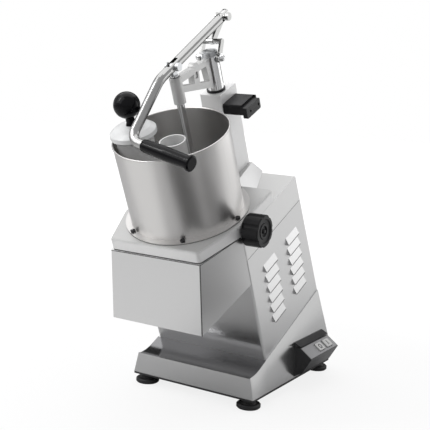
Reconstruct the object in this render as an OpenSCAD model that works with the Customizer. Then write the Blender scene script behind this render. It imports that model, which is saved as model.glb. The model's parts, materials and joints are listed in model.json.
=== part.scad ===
// Vegetable cutting machine: a tilted steel body with a cast lid, a round hopper and a lever pusher.
// The stand frame has its origin on the floor, +X to the operator's right and -Y towards the operator.
// Most pieces are drawn in the head frame: origin at the hopper centre on the lid, tilted about X.

/* [Layout] */
// Tilt of the upper machine towards the operator, in degrees
tilt = 25; // [22:1:27]
// How far the hopper centre stands in front of the stand centre
head_front = 215.5; // [213:0.5:219]
// Height of the hopper centre above the floor
head_z = 372; // [369:1:378]

/* [Base] */
// Length of the base, front to back
base_len = 346; // [342:1:352]
// Half width of the base at its bottom edge
base_half = 138; // [135:1:142]
// Height of the front skirt
skirt_h = 41; // [38:1:44]
// Half width of the skirt at its top
skirt_half = 129; // [127:1:132]
// Radius between the deck and the slope of the body
deck_fillet_r = 90; // [60:5:100]
// Sheet thickness of the base
base_wall = 2; // [1.5:0.5:2.5]
// Height of the feet, which is the height of the base above the floor
foot_h = 22; // [20:1:26]
// Radius of the feet on the floor
foot_r = 23.5; // [20:0.5:25]
// Distance of the feet from the side edges of the base
foot_in = 20; // [19:1:26]
// Distance of the feet from the stand centre, front and back
foot_y = 152.5; // [145:0.5:154]

/* [Body] */
// Half width of the body and of the lid
body_half = 125; // [123:1:128]
// How far the body front lies in front of the hopper axis
body_front = 24; // [20:1:27]
// How far the body reaches behind the hopper axis at its top
body_back = 199; // [196:1:204]
// The same at its bottom
body_back_low = 220; // [212:1:224]
// Depth of the body below the lid top
body_depth = 308; // [304:1:312]
// Depth of the seam between chamber and body
seam_depth = 76; // [74:1:80]
// Sheet thickness of the body panels
panel_wall = 1.5; // [1:0.5:2]
// Length of one louvre
louvre_len = 46; // [38:1:50]
// Height of one louvre
louvre_h = 16; // [12:1:18]
// How far a louvre stands out
louvre_out = 6; // [4:0.5:7]
// Distance between louvres
louvre_pitch = 23.6; // [21:0.2:24]
// Louvres in one column
louvre_rows = 6; // [3:1:6]

/* [Lid] */
// Thickness of the lid casting
lid_t = 21; // [19:1:22]
// How far the lid reaches in front of the hopper axis
lid_front = 122.5; // [120:0.5:126]
// Half width of the lid at its front edge
nose_half = 94; // [88:1:98]
// How far in front of the hopper axis the straight sides begin
side_front = 28; // [24:1:36]
// How far the lid reaches behind the hopper axis
lid_back = 109; // [107:1:112]

/* [Hopper] */
// Outer radius of the hopper
hopper_r = 106; // [104:0.5:107]
// Height of the hopper above the lid
hopper_h = 161; // [150:1:165]
// Wall of the hopper
hopper_wall = 1.5; // [1:0.5:2]
// Outer radius of the hopper flange
flange_r = 117.3; // [115:0.1:118]
// How far the feed tubes stand above the hopper rim
tube_over = 4; // [3:1:8]
// Outer radius of the wide feed tube
wide_r = 34; // [31:0.5:35]
// Outer radius of the narrow feed tube
narrow_r = 23; // [19:0.5:24]

/* [Chute] */
// How far the chute mouth lies in front of the hopper axis
chute_front = 165; // [150:1:168]
// Depth of the chute mouth at its front edge
chute_depth = 148; // [140:1:150]
// Depth of the chute mouth at the body
chute_back_depth = 128; // [120:1:132]

/* [Arm] */
// Distance of the column and post behind the hopper axis
post_y = 168; // [166:1:171]
// Radius of the chrome post
post_r = 16; // [14:0.5:17]
// How far the column top stands above the hopper rim
column_over = 9; // [5:1:11]
// How far the rear link pivot stands above the hopper rim
link_over = 74.5; // [73:0.5:77]
// Distance of the pusher rod behind the hopper axis
rod_y = 46.5; // [45:0.5:49]
// Radius of the pusher rod
rod_r = 7; // [6:0.5:7.5]
// How far the front lever pin stands above the hopper rim
lever_over = 107.5; // [106:0.5:110]
// Radius of the lever tube
lever_r = 9; // [8:0.5:9.5]

/* [Cutting disc] */
// Radius of the slicing disc
disc_r = 101; // [99:0.5:102]
// Number of slicing blades
blades = 3; // [2:1:4]

/* [Hidden] */
$fn = 64;

// Shared clearances and the overrun of every cut
cut = 1;
gap = 0.3;
fit = 0.05;

// Heights above the lid and feet, set from the hopper rim and the base edge
tube_h = hopper_h + tube_over;
column_h = hopper_h + column_over;
link_z = hopper_h + link_over;
lever_z = hopper_h + lever_over;
foot_x = base_half - foot_in;

function unit(v) = v / norm(v);
// Place of a head frame point in the stand frame
function stand_y(y, z) = -head_front + y * cos(tilt) - z * sin(tilt);
function stand_z(y, z) = head_z + y * sin(tilt) + z * cos(tilt);
// Moves the edges of an outline inwards, its points running anticlockwise
function inset(pts, d) = [for (i = [0 : len(pts) - 1])
    let (p = pts[i], u = unit(p - pts[(i + len(pts) - 1) % len(pts)]),
        v = unit(pts[(i + 1) % len(pts)] - p), m = [-u.y, u.x], n = [-v.y, v.x])
    p + d * (m + n) / (1 + m * n)];
// Rounds every corner of an outline with an arc of radius r
function rounded(pts, r, steps = 5) = [for (i = [0 : len(pts) - 1])
    let (p = pts[i], u = unit(pts[(i + len(pts) - 1) % len(pts)] - p),
        v = unit(pts[(i + 1) % len(pts)] - p), half = acos(u * v) / 2,
        c = p + unit(u + v) * r / sin(half), a = p + u * r / tan(half), b = p + v * r / tan(half))
    for (k = [0 : steps]) c + r * unit(unit(a - c) * sin((90 - half) * 2 * (1 - k / steps))
        + unit(b - c) * sin((90 - half) * 2 * k / steps))];
function box_pts(x, y) = [[-x, -y], [x, -y], [x, y], [-x, y]];

module head() { translate([0, -head_front, head_z]) rotate([tilt, 0, 0]) children(); }
// Extrudes a profile of (Y, Z) points along X, from x0 to x1
module along_x(x0, x1) { translate([x0, 0, 0]) rotate([90, 0, 90]) linear_extrude(x1 - x0) children(); }
module rod_x(x0, x1, r) { translate([x0, 0, 0]) rotate([0, 90, 0]) cylinder(r = r, h = x1 - x0); }
// Flat bar with round ends at p and q, its sides a fit inside the rounds so that they cross
module bar(p, q, w) {
    for (c = [p, q]) translate(c) circle(r = w / 2);
    translate(p) rotate(atan2(q.y - p.y, q.x - p.x)) translate([0, -(w - fit) / 2]) square([norm(q - p), w - fit]);
}
module ring(r_out, r_in, z0, z1) {
    translate([0, 0, z0]) difference() {
        cylinder(r = r_out, h = z1 - z0);
        translate([0, 0, -cut]) cylinder(r = r_in, h = z1 - z0 + 2 * cut);
    }
}
module disc(r, z0, z1) { translate([0, 0, z0]) cylinder(r = r, h = z1 - z0); }
module plate(pts, z0, z1) { translate([0, 0, z0]) linear_extrude(z1 - z0) polygon(pts); }
module convex(pts) { hull() polyhedron(pts, [[for (i = [0 : len(pts) - 1]) i]]); }
// Closed skin over a list of rings, each with the same number of points
module skin(rings) {
    n = len(rings[0]);
    m = len(rings);
    polyhedron([for (r = rings) each r], concat(
        [[for (k = [n - 1 : -1 : 0]) k]],
        [[for (k = [0 : n - 1]) (m - 1) * n + k]],
        [for (i = [0 : m - 2]) for (k = [0 : n - 1]) let (a = i * n, b = a + n, l = (k + 1) % n)
            each [[a + k, a + l, b + l], [a + k, b + l, b + k]]]));
}
// Tube along a path, with its section carried from ring to ring
function carried(dirs, n, i = 0) = i == len(dirs) ? []
    : let (m = unit(n - (n * dirs[i]) * dirs[i])) concat([m], carried(dirs, m, i + 1));
function arc_at(a, b, c, r, steps) = let (u = unit(a - b), v = unit(c - b), half = acos(u * v) / 2,
    o = b + unit(u + v) * r / sin(half), p = unit(b + u * r / tan(half) - o),
    q = unit(b + v * r / tan(half) - o), turn = 180 - 2 * half)
    [for (k = [0 : steps]) o + r * (p * sin(turn * (1 - k / steps)) + q * sin(turn * k / steps)) / sin(turn)];
module sweep(path, r, sides) {
    last = len(path) - 1;
    dirs = [for (i = [0 : last]) unit(path[min(i + 1, last)] - path[max(i - 1, 0)])];
    side = carried(dirs, [0, 0, 1]);
    skin([for (i = [0 : last]) [for (k = [0 : sides - 1]) let (a = 360 * k / sides)
        path[i] + r * (cos(a) * side[i] + sin(a) * cross(side[i], dirs[i]))]]);
}

// Base: stations along Y, each with its top height and top half width
deck_z = foot_h + skirt_h;
deck_half = skirt_half - base_wall;
crease_half = body_half + base_wall;
rear_half = base_half - base_wall;
crease_y0 = stand_y(-body_front, -body_depth);
crease_z0 = stand_z(-body_front, -body_depth);
crease_y1 = stand_y(body_back_low, -body_depth);
crease_z1 = stand_z(body_back_low, -body_depth);
knee_y = crease_y0 - (crease_z0 - deck_z) / tan(tilt) - deck_fillet_r * tan(tilt / 2);
knee_steps = 6;
base_edge = base_len / 2;
function base_line(t) = concat(
    [[-base_edge + t, deck_z - t, skirt_half - t]],
    [for (k = [0 : knee_steps]) let (a = tilt * k / knee_steps)
        [knee_y + deck_fillet_r * sin(a), deck_z + deck_fillet_r * (1 - cos(a)) - t, deck_half - t]],
    [[crease_y0, crease_z0 - t, crease_half - t], [crease_y1 - t, crease_z1 - t, crease_half - t],
        [base_edge - t, deck_z - t, rear_half - t]]);
module base_solid(t, z0) {
    skin([for (s = base_line(t)) [[-base_half + t, s[0], z0], [base_half - t, s[0], z0],
        [s[2], s[0], s[1]], [-s[2], s[0], s[1]]]]);
}
module at_feet() { for (x = [-foot_x, foot_x]) for (y = [-foot_y, foot_y]) translate([x, y, 0]) children(); }

foot_screw_r = 3;
foot_boss_r = 9;
foot_boss_h = 22;
foot_boss_top = foot_h + foot_boss_h;
foot_head_r = 5.5;
foot_head_z = 4;
foot_head_h = 4;
foot_recess = foot_head_z + foot_head_h;
floor_t = base_wall;
floor_gap = 1.3;
cable_window_half = 70;

module base_shell() color("#b9bab8") difference() {
    union() {
        difference() {
            base_solid(0, foot_h);
            base_solid(base_wall, foot_h - cut);
        }
        translate([0, gland_y - base_wall, gland_z]) rotate([90, 0, 0]) disc(gland_nut_r, -base_wall, gland_seat);
    }
    // Window in the slope, where the wiring passes up into the body
    head() translate([-cable_window_half, body_front, -body_depth - cable_window_half / 2])
        cube([2 * cable_window_half, 2 * cable_window_half, cable_window_half]);
    translate([0, gland_y, gland_z]) rotate([90, 0, 0]) disc(gland_r, -gland_out, gland_in + cut);
}

vents = 9;
vent_w = 5;
vent_len = 70;
vent_pitch = 16;
module bottom_plate() color("#9a9b9a") difference() {
    union() {
        plate(box_pts(base_half - base_wall - floor_gap, base_edge - base_wall - gap), foot_h, foot_h + floor_t);
        at_feet() disc(foot_boss_r, foot_h, foot_boss_top);
    }
    at_feet() disc(foot_screw_r, foot_h - cut, foot_boss_top + cut);
    for (i = [0 : vents - 1]) translate([(i - (vents - 1) / 2) * vent_pitch - vent_w / 2, -vent_len / 2, foot_h - cut])
        cube([vent_w, vent_len, floor_t + 2 * cut]);
}

trim_out = 1.2;
trim_h = 3;
trim_w = 5;
module edge_trim() color("#1b1b1c") difference() {
    plate(rounded(box_pts(base_half + trim_out, base_edge + trim_out), trim_w), foot_h - trim_h, foot_h);
    plate(box_pts(base_half - trim_w, base_edge - trim_w), foot_h - trim_h - cut, foot_h + cut);
}

foot_neck_r = 13;
foot_disc_h = 9;
foot_edge = 2;
foot_hole_r = 7;
module rubber_feet() color("#161617") at_feet() rotate_extrude() polygon([[foot_hole_r, 0],
    [foot_r - foot_edge, 0], [foot_r, foot_edge], [foot_r, foot_disc_h - foot_edge],
    [foot_r - foot_edge, foot_disc_h], [foot_neck_r + foot_edge, foot_disc_h],
    [foot_neck_r, foot_disc_h + foot_edge], [foot_neck_r, foot_h], [foot_screw_r, foot_h],
    [foot_screw_r, foot_recess], [foot_hole_r, foot_recess]]);

module foot_screws() color("#8d8e90") at_feet() difference() {
    union() {
        disc(foot_head_r, foot_head_z, foot_recess);
        disc(foot_screw_r, foot_recess - cut, foot_boss_top);
    }
    translate([0, 0, foot_head_z - cut]) cylinder(r = foot_screw_r, h = foot_head_h / 2 + cut, $fn = 6);
}

// Body panels
back_lean = (body_back_low - body_back) / (body_depth - lid_t);
function back_at(z) = body_back + (-z - lid_t) * back_lean;
corner_r = 5;
module body_block(t, z0, z1) intersection() {
    along_x(-body_half + t, body_half - t) polygon([[-body_front + t, z0], [back_at(z0) - t, z0],
        [back_at(z1) - t, z1], [-body_front + t, z1]]);
    plate(rounded([[-body_half + t, -body_front + t], [body_half - t, -body_front + t],
        [body_half - t, body_back_low + corner_r], [-body_half + t, body_back_low + corner_r]], corner_r),
        z0 - cut, z1 + cut);
}

louvre_top = 120;
louvre_cols = [29, 125];
module louvre(t) {
    translate([0, t, 0]) rotate([90, 0, 0]) mirror([0, 0, 1]) linear_extrude(louvre_len - 2 * t)
        polygon([[-panel_wall - t, -t], [louvre_out - t, -t], [0, louvre_h - t * 2], [-panel_wall - t, louvre_h - t * 2]]);
}
module at_louvres() {
    for (side = [0, 1]) mirror([side, 0, 0]) for (y = louvre_cols) for (i = [0 : louvre_rows - 1])
        translate([body_half, y, -louvre_top - louvre_h - i * louvre_pitch]) children();
}
guard_r = 63;
guard_gap = 1;
guard_z = 106;
notch_half = 57;
module motor_housing() color("#bdbdbb") head() difference() {
    union() {
        difference() {
            body_block(0, -body_depth, -seam_depth);
            body_block(panel_wall, -body_depth - cut, -seam_depth + cut);
        }
        at_louvres() louvre(0);
    }
    at_louvres() louvre(panel_wall);
    // Notch in the front for the belt drive
    translate([-notch_half, -body_front - cut, -guard_z]) cube([2 * notch_half, panel_wall + 2 * cut, guard_z - seam_depth + cut]);
    // Opening at the back, under the rear cover
    translate([-cover_hole_half, body_back - corner_r, -cover_z0 - cover_h + cover_rim])
        cube([2 * cover_hole_half, body_back_low, cover_h - 2 * cover_rim]);
    on_cover() disc(cover_screw_r, -panel_wall - cut, cover_t);
}

// Rear cover, on the leaning back panel
cover_half = 105;
cover_z0 = 96;
cover_low = 22;
cover_h = body_depth - cover_z0 - cover_low;
cover_rim = 12;
cover_hole_half = cover_half - cover_rim;
cover_t = 1.5;
cover_screw_r = 2;
cover_head_r = 4;
cover_head_h = 2.5;
cover_corner = 6;
module on_back() {
    translate([0, back_at(-cover_z0), -cover_z0]) rotate([-90 + atan(back_lean), 0, 0]) children();
}
module on_cover() {
    for (x = [-1, 1]) for (z = [cover_rim / 2, cover_h - cover_rim / 2])
        on_back() translate([x * (cover_half - cover_rim / 2), z, 0]) children();
}
back_vents = 7;
module rear_cover() color("#b4b5b3") head() difference() {
    on_back() translate([0, cover_h / 2, 0]) plate(rounded(box_pts(cover_half, cover_h / 2), cover_corner), 0, cover_t);
    on_cover() disc(cover_screw_r, -cut, cover_t + cut);
    for (i = [0 : back_vents - 1]) on_back() translate([(i - (back_vents - 1) / 2) * vent_pitch - vent_w / 2,
        (cover_h - vent_len) / 2, -cut]) cube([vent_w, vent_len, cover_t + 2 * cut]);
}
module cover_screws() color("#8d8e90") head() on_cover() {
    disc(cover_screw_r, -panel_wall * 2, cover_t);
    disc(cover_head_r, cover_t, cover_t + cover_head_h);
}

// Cutting chamber
cast_wall = 5;
bowl_gap = 4;
bowl_r = disc_r + bowl_gap;
bowl_floor = 62;
chamber_top = -lid_t - gap;
hub_r = 27;
hub_top = -46;
hub_low = -78;
bearing_r = 21;
bearing_t = 12;
lower_bearing = hub_low;
upper_bearing = hub_top - bearing_t;
spindle_r = 10;
hub_play = 1;
hub_lip_r = spindle_r + hub_play;
rim_z = -34;
outlet_half = 86;
outlet_y = guard_r - guard_gap;
bowl_out = bowl_r + cast_wall;
module cutting_chamber() color("#a9a9a8") head() difference() {
    union() {
        difference() {
            body_block(0, -seam_depth, chamber_top);
            body_block(cast_wall, -seam_depth - cut, chamber_top - cast_wall);
        }
        disc(bowl_out, -bowl_floor - cast_wall, chamber_top);
        disc(hub_r, hub_low, hub_top);
    }
    difference() {
        disc(bowl_r, -bowl_floor, 0);
        disc(hub_r, hub_low, hub_top);
    }
    // Outlet through the floor and the front wall, under the rim
    translate([-outlet_half, -bowl_out - cut, -seam_depth - cut])
        cube([2 * outlet_half, bowl_out + cut - outlet_y, rim_z + seam_depth + cut]);
    disc(bearing_r, hub_low - cut, hub_low + bearing_t);
    disc(bearing_r, upper_bearing, hub_top + cut);
    disc(hub_lip_r, hub_low, hub_top + cut);
}

// Chute hood: a flared sheet skirt with an open bottom
hood_wall = 1.5;
hood_flare = 2;
hood_seam = 1.3;
hood_top = chamber_top - hood_seam;
hood_y = lid_front + hood_flare;
function hood_pts(t, over) = let (b = body_front - over, w = body_half - t, n = nose_half + hood_flare - t)
    [[-n, -hood_y + t, hood_top - t], [n, -hood_y + t, hood_top - t],
    [-w, -b, hood_top - t], [w, -b, hood_top - t],
    [-n - hood_flare, -chute_front + t, -chute_depth - over], [n + hood_flare, -chute_front + t, -chute_depth - over],
    [-w, -b, -chute_back_depth - over], [w, -b, -chute_back_depth - over]];
module chute_hood() color("#c4c5c6") head() difference() {
    convex(hood_pts(0, 0));
    convex(hood_pts(hood_wall, cut));
    disc(bowl_out + gap, -chute_depth, 0);
    translate([-body_half - cut, -body_front, -chute_depth]) cube([2 * (body_half + cut), 2 * cut, chute_depth]);
}

// Guard under the chamber, in front of the body, round the large pulley
guard_wall = 2;
module belt_guard() color("#a9a9a8") head() intersection() {
    difference() {
        disc(guard_r - guard_gap, -guard_z, -bowl_floor - cast_wall);
        disc(guard_r - guard_gap - guard_wall, -guard_z + guard_wall, 0);
    }
    translate([-guard_r, -guard_r, -guard_z - cut]) cube([2 * guard_r, guard_r - body_front, guard_z]);
}

// Motor and belt drive
motor_y = 115;
motor_r = 60;
motor_plate_t = 6;
motor_len = 140;
motor_z1 = -guard_z - motor_plate_t;
motor_z0 = motor_z1 - motor_len;
stator_r = 40;
rotor_r = 38;
shaft_r = 7;
end_wall = 12;
motor_step = 4;
plate_front = 38;
plate_back = 190;
motor_hole_r = 30;
module at_motor() translate([0, motor_y, 0]) children();
module motor_plate() color("#8f9092") head() difference() {
    plate([[-body_half + panel_wall, plate_front], [body_half - panel_wall, plate_front],
        [body_half - panel_wall, plate_back], [-body_half + panel_wall, plate_back]], motor_z1, -guard_z);
    at_motor() disc(motor_hole_r, motor_z1 - cut, 0);
}
fins = 20;
fin_w = 2.5;
fin_out = 5;
fin_gap = 1;
module motor_body() color("#5d6266") head() at_motor() difference() {
    union() {
        disc(motor_r - fin_out, motor_z0, motor_z1);
        disc(motor_r, motor_z1 - end_wall, motor_z1);
        disc(motor_r, motor_z0, motor_z0 + end_wall);
        for (i = [0 : fins - 1]) rotate(360 * i / fins) translate([stator_r + fin_gap, -fin_w / 2, motor_z0 + end_wall / 2])
            cube([motor_r - stator_r - 2 * fin_gap, fin_w, motor_len - end_wall]);
    }
    disc(stator_r, motor_z0 + end_wall, motor_z1 - end_wall);
    disc(shaft_r + fit, motor_z0 - cut, motor_z1 + cut);
}
belt_z0 = -96;
belt_z1 = -86;
flange_t = 3;
groove = 1;
fan_drop = 18;
fan_z = motor_z0 - fan_drop;
module motor_rotor() color("#9aa0a4") head() at_motor() {
    disc(shaft_r, fan_z, belt_z1 + flange_t);
    disc(rotor_r, motor_z0 + end_wall + motor_step, motor_z1 - end_wall - motor_step);
}
module pulley(r, bore) difference() {
    union() {
        disc(r, belt_z0, belt_z1);
        disc(r + flange_t, belt_z0 - flange_t, belt_z0 - gap);
        disc(r + flange_t, belt_z1 + gap, belt_z1 + flange_t);
        disc(r - groove, belt_z0 - gap, belt_z1 + gap);
    }
    disc(bore, belt_z0 - flange_t - cut, 0);
}
small_pulley_r = 17;
large_pulley_r = 54;
belt_t = 4;
module motor_pulley() color("#7b7f82") head() at_motor() pulley(small_pulley_r, shaft_r);
lightening = 6;
lightening_r = 10;
module disc_pulley() color("#7b7f82") head() difference() {
    pulley(large_pulley_r, spindle_r);
    for (i = [0 : lightening - 1]) rotate(360 * i / lightening) translate([(large_pulley_r + spindle_r) / 2, 0, 0])
        disc(lightening_r, belt_z0 - flange_t - cut, 0);
}
belt_lean = asin((large_pulley_r - small_pulley_r) / motor_y);
belt_steps = 32;
function belt_pts(t) = concat(
    [for (k = [0 : belt_steps]) let (a = 180 - belt_lean + (180 + 2 * belt_lean) * k / belt_steps)
        (large_pulley_r + t) * [cos(a), sin(a)]],
    [for (k = [0 : belt_steps]) let (a = belt_lean + (180 - 2 * belt_lean) * k / belt_steps)
        [0, motor_y] + (small_pulley_r + t) * [cos(a), sin(a)]]);
module drive_belt() color("#202022") head() translate([0, 0, belt_z0]) linear_extrude(belt_z1 - belt_z0) difference() {
    polygon(belt_pts(belt_t));
    polygon(belt_pts(gap));
}
fan_r = 48;
fan_hub_r = 14;
fan_blades = 7;
fan_blade_t = 2;
fan_h = 14;
module motor_fan() color("#2d2f31") head() at_motor() difference() {
    union() {
        disc(fan_hub_r, fan_z, fan_z + fan_h);
        disc(fan_r, fan_z, fan_z + fan_blade_t);
        for (i = [0 : fan_blades - 1]) rotate(360 * i / fan_blades) translate([0, -fan_blade_t / 2, fan_z])
            cube([fan_r, fan_blade_t, fan_h]);
    }
    disc(shaft_r, fan_z - cut, fan_z + fan_h + cut);
}

// Spindle, ejector and slicing disc
ejector_gap = 2;
ejector_z0 = -bowl_floor + ejector_gap;
ejector_t = 3;
ejector_top = -41;
ejector_wall = 5;
hub_gap = 1;
ejector_hub_r = hub_r + hub_gap + ejector_wall;
vane_r = disc_r - bowl_gap;
vane_top = -35;
vane_t = 5;
vanes = 4;
disc_z0 = -31;
disc_t = 3.5;
disc_hub_r = 22;
disc_hub_top = -23.5;
spindle_step = 1;
module spindle() color("#a7abad") head() {
    disc(spindle_r, belt_z0 - flange_t, disc_hub_top);
    disc(spindle_r + spindle_step, belt_z1 + flange_t, hub_low - gap);
}
module spindle_bearings() color("#c9ccce") head() for (z = [lower_bearing, upper_bearing])
    ring(bearing_r, spindle_r + fit, z, z + bearing_t);
module ejector() color("#d8d9d6") head() difference() {
    union() {
        disc(vane_r, ejector_z0, ejector_z0 + ejector_t);
        disc(ejector_hub_r, ejector_z0, ejector_top);
        for (i = [0 : vanes - 1]) rotate(360 * i / vanes) translate([ejector_hub_r - cut, -vane_t / 2, ejector_z0])
            cube([vane_r - ejector_hub_r, vane_t, vane_top - ejector_z0]);
    }
    disc(hub_r + hub_gap, ejector_z0 - cut, hub_top + cut);
    disc(spindle_r, ejector_z0 - cut, 0);
}
blade_w = 16;
blade_slot = 7;
blade_in = 34;
blade_margin = 8;
blade_out = disc_r - blade_margin;
blade_t = 1.2;
blade_rise = 1.5;
module slicing_disc() color("#c3c6c8") head() difference() {
    union() {
        disc(disc_r, disc_z0, disc_z0 + disc_t);
        disc(disc_hub_r, ejector_top, disc_hub_top);
    }
    disc(spindle_r, ejector_top - cut, 0);
    for (i = [0 : blades - 1]) rotate(360 * i / blades) translate([blade_in, -blade_slot, disc_z0 - cut])
        cube([blade_out - blade_in, blade_slot, disc_t + 2 * cut]);
}
module disc_blades() color("#e3e6e8") head() for (i = [0 : blades - 1]) rotate(360 * i / blades)
    translate([blade_in, 0, disc_z0 + disc_t]) {
        cube([blade_out - blade_in, blade_w, blade_t]);
        translate([0, 0, blade_t]) rotate([90, 0, 90]) linear_extrude(blade_out - blade_in)
            polygon([[0, -blade_t], [blade_w / 2, -blade_t], [blade_w / 2, 0], [-blade_slot / 2, blade_rise - blade_t],
                [-blade_slot / 2, blade_rise - 2 * blade_t]]);
    }

// Electrical pieces inside
cap_r = 17;
cap_len = 62;
cap_x = 85;
cap_y = 150;
module capacitor() color("#d9dadb") head() translate([cap_x, cap_y, 0]) {
    disc(cap_r, motor_z1 - cap_len, motor_z1);
    disc(cap_r / 3, motor_z1 - cap_len - cap_r / 2, motor_z1 - cap_len);
}
board_half_x = 45;
board_half_y = 32;
board_t = 1.6;
board_up = 8;
board_z = foot_h + floor_t + board_up;
board_y = 92;
board_post_r = 3;
relay_h = 16;
module control_board() color("#2f6b45") translate([0, board_y, 0]) {
    plate(box_pts(board_half_x, board_half_y), board_z, board_z + board_t);
    for (x = [-1, 1]) for (y = [-1, 1]) translate([x * (board_half_x - board_post_r), y * (board_half_y - board_post_r), 0])
        disc(board_post_r, foot_h + floor_t, board_z);
    translate([-board_half_x / 2, 0, board_z]) plate(box_pts(relay_h / 2, relay_h), 0, relay_h);
    translate([board_half_x / 2, 0, board_z]) plate(box_pts(relay_h / 3, relay_h / 2), 0, relay_h);
}
gland_y = base_edge;
gland_z = foot_h + skirt_h / 2;
gland_r = 9;
gland_bore_r = 4.5;
gland_nut_r = 13;
gland_out = 10;
gland_in = 10;
gland_seat = 2;
module cable_gland() color("#1d1d1f") translate([0, gland_y, gland_z]) rotate([90, 0, 0]) difference() {
    union() {
        disc(gland_r, -gland_out, gland_in);
        translate([0, 0, -gland_out / 2]) cylinder(r = gland_nut_r, h = gland_out / 2, $fn = 6);
    }
    disc(gland_bore_r, -gland_out - cut, gland_in + cut);
}

// Lid
lid_edge_r = 3;
lid_corner_r = 9;
lid_edge_steps = 3;
lid_pts = [[-nose_half, -lid_front], [nose_half, -lid_front], [body_half, -side_front],
    [body_half, lid_back], [-body_half, lid_back], [-body_half, -side_front]];
tail_root_half = 80;
tail_end_half = 49;
tail_top_root = 40;
tail_top_half = 28;
tail_top = -3;
tail_back = 206;
tail_lap = 20;
moon_r = 98;
moon_y = 11;
moon_steps = 24;
wide_at = [-58.5, -30];
narrow_at = [24, -31.5];
pocket_wall = 6;
pocket_top = -8;
pocket_r = bowl_r + pocket_wall;
module half_moon(r, y, z0, z1) {
    a = asin(y / r);
    plate(concat([for (k = [0 : moon_steps]) let (t = a + (180 - 2 * a) * k / moon_steps) [r * cos(t), r * sin(t)]]), z0, z1);
}
lug_x0 = bowl_out + 2 * gap;
lug_t = 6;
lug_half = 8;
lock_y = -8;
lock_z = -15.5;
stud_r = 5;
lug_over = 1;
lug_top = lock_z + stud_r + lug_over;
lug_clear = 1.4;
module lid() color("#e4e4e2") head() difference() {
    union() {
        for (k = [0 : lid_edge_steps]) let (a = 90 * k / lid_edge_steps)
            plate(rounded(inset(lid_pts, lid_edge_r * (1 - cos(a))), lid_corner_r), -lid_t, -lid_edge_r * (1 - sin(a)));
        convex([for (s = [-1, 1]) each [[s * tail_root_half, lid_back - tail_lap, -lid_t], [s * tail_root_half, lid_back, -lid_t],
            [s * tail_end_half, tail_back, -lid_t], [s * tail_top_root, lid_back - tail_lap, tail_top],
            [s * tail_top_half, tail_back, tail_top]]]);
    }
    // Pocket under the casting, outside the chamber
    difference() {
        plate(inset(lid_pts, pocket_wall), -lid_t - cut, pocket_top);
        disc(pocket_r, -lid_t - 2 * cut, 0);
    }
    half_moon(moon_r, moon_y, -lid_t - cut, cut);
    translate(wide_at) disc(wide_r, -lid_t - cut, cut);
    translate(narrow_at) disc(narrow_r, -lid_t - cut, cut);
    at_hopper_screws() disc(hopper_screw_r, -hopper_screw_len, cut);
    // Room for the lock lug, and the open slot for its stud
    translate([lug_x0 - lug_clear, lock_y - lug_half - lug_clear, -lid_t - cut])
        cube([body_half - pocket_wall - lug_x0 + lug_clear, 2 * (lug_half + lug_clear), lid_t + cut + pocket_top]);
    translate([0, lock_y, lock_z]) rod_x(lug_x0, body_half + cut, stud_r + gap);
    translate([lug_x0, lock_y - stud_r - gap, -lid_t - cut]) cube([body_half, 2 * (stud_r + gap), lid_t + lock_z + cut]);
    for (y = column_screw_y) translate([0, y, 0]) disc(column_screw_r, -lid_t - cut, cut);
    for (y = column_screw_y) translate([0, y, 0]) disc(column_head_r + gap, -lid_t - cut, -lid_t + column_head_h + cut);
}
gasket_t = 1;
module lid_gasket() color("#2a2a2c") head() difference() {
    disc(flange_r - gap, 0, gasket_t);
    disc(hopper_r - hopper_wall, -cut, gasket_t + cut);
    at_hopper_screws() disc(hopper_screw_r, -cut, gasket_t + cut);
}

// Hopper
flange_sheet = 2;
bead_r = 1.6;
hopper_bolt_r = (hopper_r + flange_r) / 2;
hopper_screw_r = 2.5;
hopper_screw_len = 7;
tip_gap = 1;
hopper_head_r = 4.6;
hopper_head_h = 3.5;
hopper_screws_n = 6;
hopper_screw_turn = -3;
hopper_z0 = gasket_t;
module at_hopper_screws() for (i = [0 : hopper_screws_n - 1]) rotate(hopper_screw_turn + 360 * i / hopper_screws_n)
    translate([hopper_bolt_r, 0, 0]) children();
module hopper() color("#c9c8c5") head() difference() {
    rotate_extrude($fn = 128) {
        translate([hopper_r - hopper_wall, hopper_z0]) square([hopper_wall, hopper_h - hopper_z0]);
        translate([hopper_r - hopper_wall, hopper_z0]) square([flange_r - hopper_r + hopper_wall, flange_sheet]);
        translate([hopper_r - hopper_wall + bead_r, hopper_h]) circle(r = bead_r, $fn = 24);
    }
    at_hopper_screws() disc(hopper_screw_r, 0, hopper_z0 + flange_sheet + cut);
}
hopper_seat = hopper_z0 + flange_sheet;
module hopper_screws() color("#3b3c3e") head() at_hopper_screws() {
    disc(hopper_screw_r, -hopper_screw_len + tip_gap, hopper_seat);
    difference() {
        disc(hopper_head_r, hopper_seat, hopper_seat + hopper_head_h);
        for (a = [0, 90]) rotate(a) translate([-hopper_head_r, -hopper_screw_r / 4, hopper_seat + hopper_head_h / 2])
            cube([2 * hopper_head_r, hopper_screw_r / 2, hopper_head_h]);
    }
}

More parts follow.
